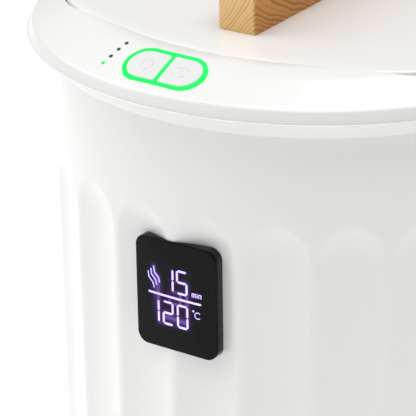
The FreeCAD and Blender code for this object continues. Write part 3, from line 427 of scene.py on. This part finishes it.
def black_pane(name):
    """Polished black cover whose figures light the plastic close to them."""
    material, tree, shader = new_material(name)
    vector = coordinates(tree)
    smudge = noise(tree, vector, 35.0, 5.0)
    tint = ramp(tree, smudge, [(0.3, (0.0016, 0.0016, 0.0018)), (0.7, (0.003, 0.003, 0.0034))])
    tree.links.new(tint, shader.inputs["Base Color"])
    halo = add(tree, "Attribute", attribute_name="glow").outputs["Fac"]
    light = ramp(tree, halo, [(0.0, (0, 0, 0)), (0.45, (0.030, 0.018, 0.085)), (1.0, (0.16, 0.11, 0.42))])
    tree.links.new(light, shader.inputs["Emission Color"])
    set_inputs(shader, roughness=0.12, specular=0.10, emission=1.0)
    return material


WHITE = (0.80, 0.80, 0.79)
materials = {
    "white_gloss_plastic": plastic("white_gloss", WHITE, 0.28, 0.008, 900.0, 0.012, coat=0.25,
                                   coat_roughness=0.08),
    "grey_button_plastic": plastic("key_plastic", (0.72, 0.72, 0.72), 0.38, 0.012, 1200.0, 0.02),
    "zinc_steel": metal("zinc_steel", (0.62, 0.62, 0.64), 0.32, (1, 1, 1)),
    "green_light_guide": glow("green_guide", (0.0, 0.70, 0.07), (0.01, 0.78, 0.11), 0.92, (1, 1, 1)),
    "dark_lens": plastic("dark_lens", (0.055, 0.052, 0.048), 0.3, 0.1),
    "green_board": board("green_board", (0.02, 0.16, 0.06)),
    "black_plastic": plastic("black_plastic", (0.02, 0.02, 0.02), 0.5, 0.1, 1500.0, 0.1),
    "led_package": plastic("led_package", (0.85, 0.82, 0.62), 0.4),
    "black_gloss_plastic": plastic("black_gloss", (0.003, 0.003, 0.0033), 0.16, 0.2, 700.0, 0.01,
                                   specular=0.35),
    "violet_figures": glow("violet_figures", (0.46, 0.33, 1.0), (0.58, 0.46, 1.0), 1.15, (1, 1, 1)),
    "bucket_aluminium": metal("bucket_aluminium", (0.80, 0.80, 0.81), 0.30, (1, 1, 30)),
    "heater_silicone": plastic("heater_silicone", (0.52, 0.09, 0.03), 0.6, 0.08, 500.0, 0.2),
    "felt": felt("felt", (0.74, 0.71, 0.65)),
    "galvanised_steel": metal("galvanised_steel", (0.58, 0.60, 0.61), 0.42, (1, 1, 1)),
    "grey_liner_plastic": plastic("grey_liner", (0.60, 0.61, 0.62), 0.5, 0.03, 1400.0, 0.1),
    "grey_silicone": plastic("grey_silicone", (0.30, 0.31, 0.33), 0.65, 0.05, 900.0, 0.1),
    "pine": pine("pine"),
    "black_rubber": plastic("black_rubber", (0.02, 0.02, 0.02), 0.75, 0.15, 800.0, 0.25),
    "yellow_tape": plastic("yellow_tape", (0.75, 0.52, 0.06), 0.35, 0.06, 300.0, 0.1),
    "capacitor_sleeve": plastic("capacitor_sleeve", (0.02, 0.03, 0.09), 0.3, 0.1),
    "terminal_green": plastic("terminal_green", (0.03, 0.25, 0.07), 0.45, 0.06),
    "wire_grey": plastic("wire_grey", (0.12, 0.12, 0.13), 0.6, 0.08),
    "wire_red": plastic("wire_red", (0.42, 0.02, 0.015), 0.55, 0.08),
}
pane_material = black_pane("black_pane")

node_slots = {row["node"]: row["material_slot"] for row in frame["record"]["subparts"]}
for node_name, node_object in frame["nodes"].items():
    node_object.data.materials.clear()
    node_object.data.materials.append(materials[node_slots[node_name]])
    soften(node_object, 35)


# ---------- shell with flutes ----------

def flute_radius(azimuth, z):
    """Radius of the wall at an azimuth: the round body, less the round-bottomed hollow of a flute."""
    step = math.tau / FLUTE_COUNT
    across = (azimuth % step) - step / 2
    cutter_r = (FLUTE_HALF_CHORD ** 2 + FLUTE_SAGITTA ** 2) / (2 * FLUTE_SAGITTA)
    centre_r = math.sqrt(BODY_R ** 2 - FLUTE_HALF_CHORD ** 2) - FLUTE_SAGITTA + cutter_r
    above = max(0.0, z - (FLUTE_TOP_Z - FLUTE_HALF_CHORD))
    reach = cutter_r ** 2 - above ** 2 - (centre_r * math.sin(across)) ** 2
    if reach <= 0:
        return BODY_R
    hollow = centre_r * math.cos(across) - math.sqrt(reach)
    blended = (BODY_R + hollow - math.hypot(BODY_R - hollow, FLUTE_EDGE)) / 2
    fade = min(1.0, max(0.0, (FLUTE_TOP_Z + 12 * MM - z) / (8 * MM)))
    return BODY_R + (blended - BODY_R) * fade


def shell_rows():
    """Heights of the rows of the fluted wall, close together where the arches are."""
    shell_lo, _ = BOX["outer_shell"]
    rows = [shell_lo.z + d * MM for d in (1.2, 12, 40, 80, 120, 160, 200, 240, 262)]
    first, last, count = FLUTE_TOP_Z - 18 * MM, FLUTE_TOP_Z + 2 * MM, 32
    rows += [first + (last - first) * i / count for i in range(count + 1)]
    return rows + [FLUTE_TOP_Z + d * MM for d in (4, 7, 10, 13, 22, 34)]


def make_shell():
    shell_lo, _ = BOX["outer_shell"]
    seam_z = RIM_Z - SEAM_DROP
    lip_r = SEAM_R + 0.2 * MM
    bead = 0.45 * MM
    centre_r = BODY_R + COVE_R
    cove_z = seam_z - COVE_R + 0.4 * MM
    rows = shell_rows()
    end_angle = math.acos((lip_r - centre_r) / COVE_R)
    cove = [math.pi + (end_angle - math.pi) * i / 16 for i in range(17)]
    cove_points = [(centre_r + COVE_R * math.cos(a), cove_z + COVE_R * math.sin(a)) for a in cove]
    lip_z = cove_points[-1][1]
    tail = [(lip_r + bead * 0.5, lip_z + bead * 0.2), (lip_r + bead * 0.6, lip_z + bead * 0.7),
            (lip_r + bead * 0.3, lip_z + bead * 1.1), (lip_r - bead, lip_z + bead * 1.2),
            (lip_r - 5 * MM, lip_z + bead), (lip_r - 5 * MM, seam_z - 2.6 * MM),
            (WALL_IN_R, seam_z - 16.3 * MM), (WALL_IN_R, shell_lo.z + 1 * MM),
            (WALL_IN_R + 0.8 * MM, shell_lo.z), (BODY_R - 4.2 * MM, shell_lo.z)]

    def profile(azimuth):
        wall = [(flute_radius(azimuth, z), z) for z in rows]
        foot = (wall[0][0] - 0.5 * MM, shell_lo.z + 0.3 * MM)
        return [foot] + wall + cove_points + tail

    per_flute = 44
    count = FLUTE_COUNT * per_flute
    azimuths = [math.tau * i / count for i in range(count)]
    obj = mesh_object("shell_skin", *torus_grid(lathe_columns(profile, azimuths)), sharp=50)
    cut(obj, [display_cutter(), gland_cutter()], sharp=50)
    return finish_piece(obj, "housing", "outer_shell", materials["white_gloss_plastic"])


def display_outline(inset, steps=10):
    """Rounded rectangle of the display, as (x, z) points about its centre."""
    lo, hi = BOX["display_window"]
    w, h = (hi.x - lo.x) / 2 - inset, (hi.z - lo.z) / 2 - inset
    r = max(0.4 * MM, PANE_CORNER_R - inset)
    return fillet([((w, h), r), ((-w, h), r), ((-w, -h), r), ((w, -h), r)], steps)


def display_centre():
    lo, hi = BOX["display_window"]
    return (lo.x + hi.x) / 2, (lo.z + hi.z) / 2


def display_cutter():
    front, back = BOX["display_window"][0].y - 5 * MM, BOX["display_housing"][1].y + 5 * MM
    cx, cz = display_centre()
    loops = [[(cx + x, y, cz + z) for x, z in display_outline(-0.06 * MM)] for y in (front, back)]
    return stack_loops(loops, "cutter")


def gland_cutter():
    lo, hi = BOX["cord_gland"]
    middle = (lo + hi) / 2
    return cylinder_cutter((middle.x, lo.y - 5 * MM, middle.z), (0, 1, 0), 7 * MM, hi.y - lo.y + 10 * MM)


# ---------- control ring ----------

def lid_radius(azimuth, offset):
    """Distance from the axis to the lid's outline, grown by an offset: four tangent arcs."""
    way = np.array([math.sin(azimuth), -math.cos(azimuth)])
    front_y = LID_FRONT_Y + LID_FRONT_R
    a = LID_R - LID_CORNER_R
    b = LID_FRONT_R - LID_CORNER_R
    cy = (a * a - b * b + front_y * front_y) / (2 * front_y)
    cx = math.sqrt(a * a - cy * cy)
    corner = np.array([math.copysign(cx, way[0]), cy])
    front = np.array([0.0, front_y])

    def reach(centre, radius):
        toward = way @ centre
        return toward + math.sqrt(max(0.0, toward ** 2 - centre @ centre + radius ** 2))

    back_azimuth = abs(math.atan2(corner[0], -corner[1]))
    meet = corner + (corner - front) / np.linalg.norm(corner - front) * (LID_CORNER_R + offset)
    front_azimuth = abs(math.atan2(meet[0], -meet[1]))
    turned = abs(math.atan2(way[0], -way[1]))
    if turned < front_azimuth:
        return reach(front, LID_FRONT_R + offset)
    if turned < back_azimuth:
        return reach(corner, LID_CORNER_R + offset)
    return LID_R + offset


def ring_height(r):
    """Height of the ring's top at a radius: a slope, a crown and a gentle fall to the lid."""
    if r >= CROWN_START_R:
        return RIM_Z + (RIM_R - r) * math.tan(SLOPE)
    start = (RIM_R - CROWN_START_R) * math.tan(SLOPE)

    def crown(radius):
        t = (CROWN_START_R - radius) / (CROWN_START_R - CROWN_TOP_R)
        return start + (CROWN_RISE - start) * (1 - (1 - t) ** 2)

    if r >= CROWN_END_R:
        return RIM_Z + crown(r)
    return RIM_Z + crown(CROWN_END_R) - CROWN_FALL * (CROWN_END_R - r)


def pot_hole_radius(azimuth):
    """Distance from the axis to the hole for the pot, whose centre is set back."""
    toward = -BUCKET_Y * math.cos(azimuth)
    return toward + math.sqrt(toward ** 2 - BUCKET_Y ** 2 + BUCKET_HOLE_R ** 2)


def ring_profile(azimuth):
    seam_z = RIM_Z - SEAM_DROP
    ledge_z = BOX["inner_bucket"][1].z - 1.2 * MM
    well = lid_radius(azimuth, LID_GAP / 2)
    hole = pot_hole_radius(azimuth)
    inner, outer, under = well + 1.4 * MM, RIM_R - 3.2 * MM, RIM_R - 3.6 * MM
    wall = well + 2.2 * MM
    count = 26
    top = [inner + (outer - inner) * i / count for i in range(count + 1)]
    below = [under + (wall - under) * i / count for i in range(count + 1)]
    corners = [((hole, ledge_z), 0.4 * MM), ((well, ledge_z), 0.3 * MM),
               ((well, ring_height(well)), LIP_ROUND)]
    corners += [((r, ring_height(r)), 0) for r in top]
    corners += [((RIM_R, RIM_Z), EDGE_ROUND), ((SEAM_R, seam_z), 0.35 * MM),
                ((SEAM_R - 2.4 * MM, seam_z), 0)]
    corners += [((r, ring_height(r) - SKIN), 0) for r in below]
    corners += [((wall, ledge_z - LEDGE_T), 0), ((hole, ledge_z - LEDGE_T), 0.4 * MM)]
    return fillet(corners)


def pill_frame():
    """Matrix from the keys' own plane to the model."""
    place = Matrix.Translation((0, -PILL_R, ring_height(PILL_R))) @ Matrix.Rotation(SLOPE, 4, "X")
    return Matrix.Rotation(PILL_AZIMUTH, 4, "Z") @ place


def half_stadium(half_length, half_width, split, corner, steps=20):
    """Right half of an oval, cut off at x = split, as (x, y) points."""
    c = half_length - half_width
    end = [(c + half_width * math.cos(a), half_width * math.sin(a))
           for a in [-math.pi / 2 + math.pi * i / steps for i in range(1, steps)]]
    corners = [((split, -half_width), corner), ((c, -half_width), 0)] + [(p, 0) for p in end]
    corners += [((c, half_width), 0), ((split, half_width), corner)]
    return fillet(corners, 5)


def stadium(half_length, half_width, steps=28):
    right = [(half_length - half_width + half_width * math.cos(a), half_width * math.sin(a))
             for a in [-math.pi / 2 + math.pi * i / steps for i in range(steps + 1)]]
    return right + [(-x, -y) for x, y in right]


def pill_cutter():
    place = pill_frame()
    loops = [[place @ Vector((x, y, z)) for x, y in stadium(PILL_HALF_LENGTH, PILL_HALF_WIDTH)]
             for z in (-6 * MM, 6 * MM)]
    return stack_loops(loops, "cutter")


def make_ring():
    count = 540
    azimuths = [math.tau * i / count for i in range(count)]
    obj = mesh_object("ring_skin", *torus_grid(lathe_columns(ring_profile, azimuths)), sharp=50)
    cut(obj, [pill_cutter()], sharp=50)
    return finish_piece(obj, "housing", "control_ring", materials["white_gloss_plastic"])


# ---------- keys ----------

def make_key(side, node, name):
    """Key cap with a rolled rim, and its raised icon."""
    place = pill_frame()
    gap = GUIDE_T + KEY_GAP
    split = DIVIDER_T / 2 + KEY_GAP
    levels = [(0.0, -3.4 * MM), (0.0, KEY_PROUD - KEY_ROUND)]
    for k in range(1, 7):
        a = math.pi / 2 * k / 6
        levels.append((KEY_ROUND * (1 - math.cos(a)), KEY_PROUD - KEY_ROUND * (1 - math.sin(a))))
    levels.append((1.4 * MM, KEY_PROUD))
    loops = []
    for inset, z in levels:
        outline = half_stadium(PILL_HALF_LENGTH - gap - inset, PILL_HALF_WIDTH - gap - inset,
                               split + inset, 0.9 * MM)
        loops.append([place @ Vector((side * x, side * y, z)) for x, y in outline])
    cap = stack_loops(loops, name)
    strokes = power_strokes() if side < 0 else heat_strokes()
    tubes = [stroke_tube([place @ Vector((x, y, KEY_PROUD - 0.1 * MM)) for x, y in points], 0.3 * MM)
             for points in strokes]
    obj = join(name, [cap] + tubes)
    soften(obj, 40)
    return finish_piece(obj, node, node, materials["grey_button_plastic"])


def arc_points(x, y, radius, start, sweep, count=28):
    angles = [math.radians(start + sweep * i / count) for i in range(count + 1)]
    return [(x + radius * math.cos(a), y + radius * math.sin(a)) for a in angles]


KEY_ICON_X = 9.6 * MM
KEY_ICON_R = 2.9 * MM


def power_strokes():
    x = -KEY_ICON_X
    return [arc_points(x, 0, KEY_ICON_R, 125, 290), [(x, 0.9 * MM), (x, 2.2 * MM), (x, 3.5 * MM)]]


def heat_strokes():
    return [arc_points(KEY_ICON_X, 0, KEY_ICON_R, 20, 130), arc_points(KEY_ICON_X, 0, KEY_ICON_R, 200, 130),
            arc_points(KEY_ICON_X, 0, 1.1 * MM, 0, 300)]


def stroke_tube(points, radius):
    """Round stroke along points, with round ends, as a closed mesh."""
    curve = bpy.data.curves.new("stroke", "CURVE")
    curve.dimensions = "3D"
    curve.bevel_depth = radius
    curve.bevel_resolution = 3
    curve.use_fill_caps = True
    spline = curve.splines.new("POLY")
    spline.points.add(len(points) - 1)
    for point, place in zip(spline.points, points):
        point.co = (*place, 1)
    holder = bpy.data.objects.new("stroke", curve)
    bpy.context.scene.collection.objects.link(holder)
    graph = bpy.context.evaluated_depsgraph_get()
    mesh = bpy.data.meshes.new_from_object(holder.evaluated_get(graph))
    bpy.data.objects.remove(holder)
    obj = bpy.data.objects.new("stroke", mesh)
    bpy.context.scene.collection.objects.link(obj)
    return obj


# ---------- lid and handle ----------

def lid_profile(azimuth):
    lo, hi = BOX["lid_cover"]
    edge = lid_radius(azimuth, -LID_GAP / 2)
    fall = 0.45 * MM
    shoulder = 10 * MM
    count = 10
    corners = [((0, hi.z), 0), (((edge - shoulder) * 0.5, hi.z), 0), ((edge - shoulder, hi.z), 0)]
    for i in range(1, count):
        t = 0.72 * i / count
        corners.append(((edge - shoulder * (1 - t), hi.z - fall * t * t), 0))
    corners += [((edge, hi.z - fall), 1.6 * MM), ((edge, lo.z), 0.3 * MM),
                ((edge - 2.2 * MM, lo.z), 0.3 * MM), ((edge - 2.2 * MM, hi.z - 2.6 * MM), 0.8 * MM),
                ((edge * 0.5, hi.z - 2.6 * MM), 0), ((0, hi.z - 2.6 * MM), 0)]
    return fillet(corners)


def make_lid():
    count = 540
    azimuths = [math.tau * i / count for i in range(count)]
    columns = lathe_columns(lid_profile, azimuths)
    m = len(columns[0])
    vertices, faces = torus_grid(columns)
    faces = [f for f in faces if not (f[0] % m == m - 1)]
    obj = mesh_object("lid_skin", vertices, faces, sharp=50)
    return finish_piece(obj, "lid", "lid_cover", materials["white_gloss_plastic"])


def make_handle():
    """Square-cut bar with eased edges."""
    lo, hi = BOX["wooden_handle"]
    work = bmesh.new()
    bmesh.ops.create_cube(work, size=1.0)
    size, centre = hi - lo, (hi + lo) / 2
    for v in work.verts:
        v.co = Vector(a * b for a, b in zip(v.co, size)) + centre
    eased = [e for e in work.edges if max(v.co.z for v in e.verts) > lo.z + 1 * MM]
    bmesh.ops.bevel(work, geom=eased, offset=1.7 * MM, segments=6, profile=0.5, affect="EDGES")
    base = [e for e in work.edges if all(v.co.z < lo.z + 1e-6 for v in e.verts)]
    bmesh.ops.bevel(work, geom=base, offset=0.3 * MM, segments=2, profile=0.5, affect="EDGES")
    mesh = bpy.data.meshes.new("handle_bar")
    work.to_mesh(mesh)
    work.free()
    obj = bpy.data.objects.new("handle_bar", mesh)
    bpy.context.scene.collection.objects.link(obj)
    soften(obj, 35)
    return finish_piece(obj, "lid", "wooden_handle", materials["pine"])


# ---------- display ----------

SEGMENTS = {"1": "bc", "2": "abged", "5": "afgcd", "0": "abcdef"}
FIGURE_W = 6.1 * MM
FIGURE_H = 12.0 * MM
STROKE = 1.0 * MM
FIGURES = (("1", -3.5, 8.6), ("5", 4.0, 8.6), ("1", -11.6, -8.4), ("2", -3.8, -8.4), ("0", 4.1, -8.4))
RULE = ((-14.8, 0.1), (14.2, 0.1))
WAVE = ((0.0, 7.1), (0.4, 4.4), (2.6, 2.2), (3.2, 0.0))
WAVE_STARTS = ((-14.6, 2.9), (-13.0, 4.5), (-11.4, 6.1))


def figure_strokes():
    """Centre lines of the lit segments and the rule, as ((x, z), (x, z)) about the display's centre."""
    w, h, gap = FIGURE_W - STROKE, FIGURE_H - STROKE, 0.14 * MM
    ends = {
        "a": ((-w / 2 + gap, h / 2), (w / 2 - gap, h / 2)),
        "g": ((-w / 2 + gap, 0), (w / 2 - gap, 0)),
        "d": ((-w / 2 + gap, -h / 2), (w / 2 - gap, -h / 2)),
        "b": ((w / 2, gap), (w / 2, h / 2 - gap)),
        "c": ((w / 2, -h / 2 + gap), (w / 2, -gap)),
        "f": ((-w / 2, gap), (-w / 2, h / 2 - gap)),
        "e": ((-w / 2, -h / 2 + gap), (-w / 2, -gap)),
    }
    strokes = []
    for digit, x, z in FIGURES:
        for segment in SEGMENTS[digit]:
            (x0, z0), (x1, z1) = ends[segment]
            strokes.append(((x * MM + x0, z * MM + z0), (x * MM + x1, z * MM + z1)))
    strokes.append(tuple((x * MM, z * MM) for x, z in RULE))
    for x0, z0 in WAVE_STARTS:
        bends = [((x0 + x) * MM, (z0 + z) * MM) for x, z in WAVE]
        strokes += list(zip(bends, bends[1:]))
    return strokes


def pane_y(x):
    """Depth of the pane's curved face at a distance from its middle."""
    return BOX["display_window"][0].y + PANE_FACE_R - math.sqrt(PANE_FACE_R ** 2 - x * x)


def make_pane():
    """Black cover with a curved face and a rolled rim. Its points carry how much the figures light them."""
    cx, cz = display_centre()
    steps = 34
    rim = []
    for k in range(7):
        a = math.pi / 2 * k / 6
        rim.append((PANE_EDGE * (1 - math.cos(a)), PANE_EDGE * (1 - math.sin(a))))
    loops = [[(cx + x, pane_y(x) + PANE_T, cz + z) for x, z in display_outline(0, steps)]]
    for inset, back in rim:
        loops.append([(cx + x, pane_y(x) + back, cz + z) for x, z in display_outline(inset, steps)])
    face = display_outline(PANE_EDGE, steps)
    count = 60
    for k in range(1, count):
        s = 1 - k / count
        loops.append([(cx + x * s, pane_y(x * s), cz + z * s) for x, z in face])
    obj = stack_loops(loops, "display_pane")
    points = np.array([(v.co.x - cx, v.co.z - cz) for v in obj.data.vertices])
    near = np.min([distance_to_stroke(points, a, b) for a, b in figure_strokes()], axis=0)
    values = np.exp(-((near / (1.15 * MM)) ** 1.3))
    attribute = obj.data.attributes.new("glow", "FLOAT", "POINT")
    attribute.data.foreach_set("value", values)
    return finish_piece(obj, "housing", "display_window", pane_material)


def distance_to_stroke(points, a, b):
    """Distance of each point to the straight stroke from a to b."""
    a, b = np.array(a), np.array(b)
    along = b - a
    t = np.clip((points - a) @ along / (along @ along), 0, 1)
    return np.linalg.norm(points - a - t[:, None] * along, axis=1)


# ---------- stage, light and camera ----------

def make_stage():
    mesh = bpy.data.meshes.new("floor")
    half = 30.0
    mesh.from_pydata([(-half, -half, 0), (half, -half, 0), (half, half, 0), (-half, half, 0)], [],
                     [(0, 1, 2, 3)])
    floor = bpy.data.objects.new("floor", mesh)
    bpy.context.scene.collection.objects.link(floor)
    floor.data.materials.append(plastic("floor_white", (0.92, 0.92, 0.92), 0.9, 0.005, 20.0, 0.0, emission=0.42))


def area_light(name, azimuth, elevation, distance, size, power, color=(1, 1, 1)):
    """Square soft box that faces the middle of the object."""
    light = bpy.data.lights.new(name, "AREA")
    light.size = size
    light.energy = power
    light.color = color
    obj = bpy.data.objects.new(name, light)
    a, e = math.radians(azimuth), math.radians(elevation)
    away = Vector((math.sin(a) * math.cos(e), -math.cos(a) * math.cos(e), math.sin(e)))
    obj.location = Vector((0, 0, 0.25)) + away * distance
    obj.rotation_mode = "QUATERNION"
    obj.rotation_quaternion = (-away).to_track_quat("-Z", "Y")
    bpy.context.scene.collection.objects.link(obj)


def make_light():
    world = bpy.data.worlds.new("studio")
    bpy.context.scene.world = world
    world.use_nodes = True
    background = world.node_tree.nodes["Background"]
    background.inputs["Color"].default_value = (1.0, 1.0, 1.0, 1)
    background.inputs["Strength"].default_value = 0.34
    area_light("key", -66, 40, 2.4, 1.9, 23.0)
    area_light("top", 60, 82, 2.2, 2.0, 38.0)
    bpy.context.scene.view_settings.view_transform = "Standard"


def make_camera():
    """Camera at the viewing angle of the product shot, from the upper right of the front."""
    azimuth, elevation, distance = math.radians(30.857), math.radians(18.853), 1.095592
    turn, pitch, roll = azimuth + math.radians(3.034), math.radians(23.798), math.radians(-0.881)
    data = bpy.data.cameras.new("camera")
    data.sensor_width = 36.0
    data.lens = 197.67
    data.clip_start, data.clip_end = 0.05, 100.0
    obj = bpy.data.objects.new("camera", data)
    place = Vector((math.sin(azimuth) * math.cos(elevation), -math.cos(azimuth) * math.cos(elevation),
                    math.sin(elevation))) * distance + Vector((0, 0, RIM_Z - 1.6 * MM))
    back = Vector((math.sin(turn) * math.cos(pitch), -math.cos(turn) * math.cos(pitch), math.sin(pitch)))
    right = Vector((math.cos(turn), math.sin(turn), 0))
    up = back.cross(right)
    x_axis = right * math.cos(roll) + up * math.sin(roll)
    y_axis = up * math.cos(roll) - right * math.sin(roll)
    basis = Matrix((x_axis, y_axis, back)).transposed().to_4x4()
    obj.matrix_world = Matrix.Translation(place) @ basis
    bpy.context.scene.collection.objects.link(obj)
    bpy.context.scene.camera = obj


make_camera()
make_light()
make_stage()
make_shell()
make_ring()
make_key(-1, "power_button", "key_left")
make_key(1, "mode_button", "key_right")
make_lid()
make_handle()
make_pane()
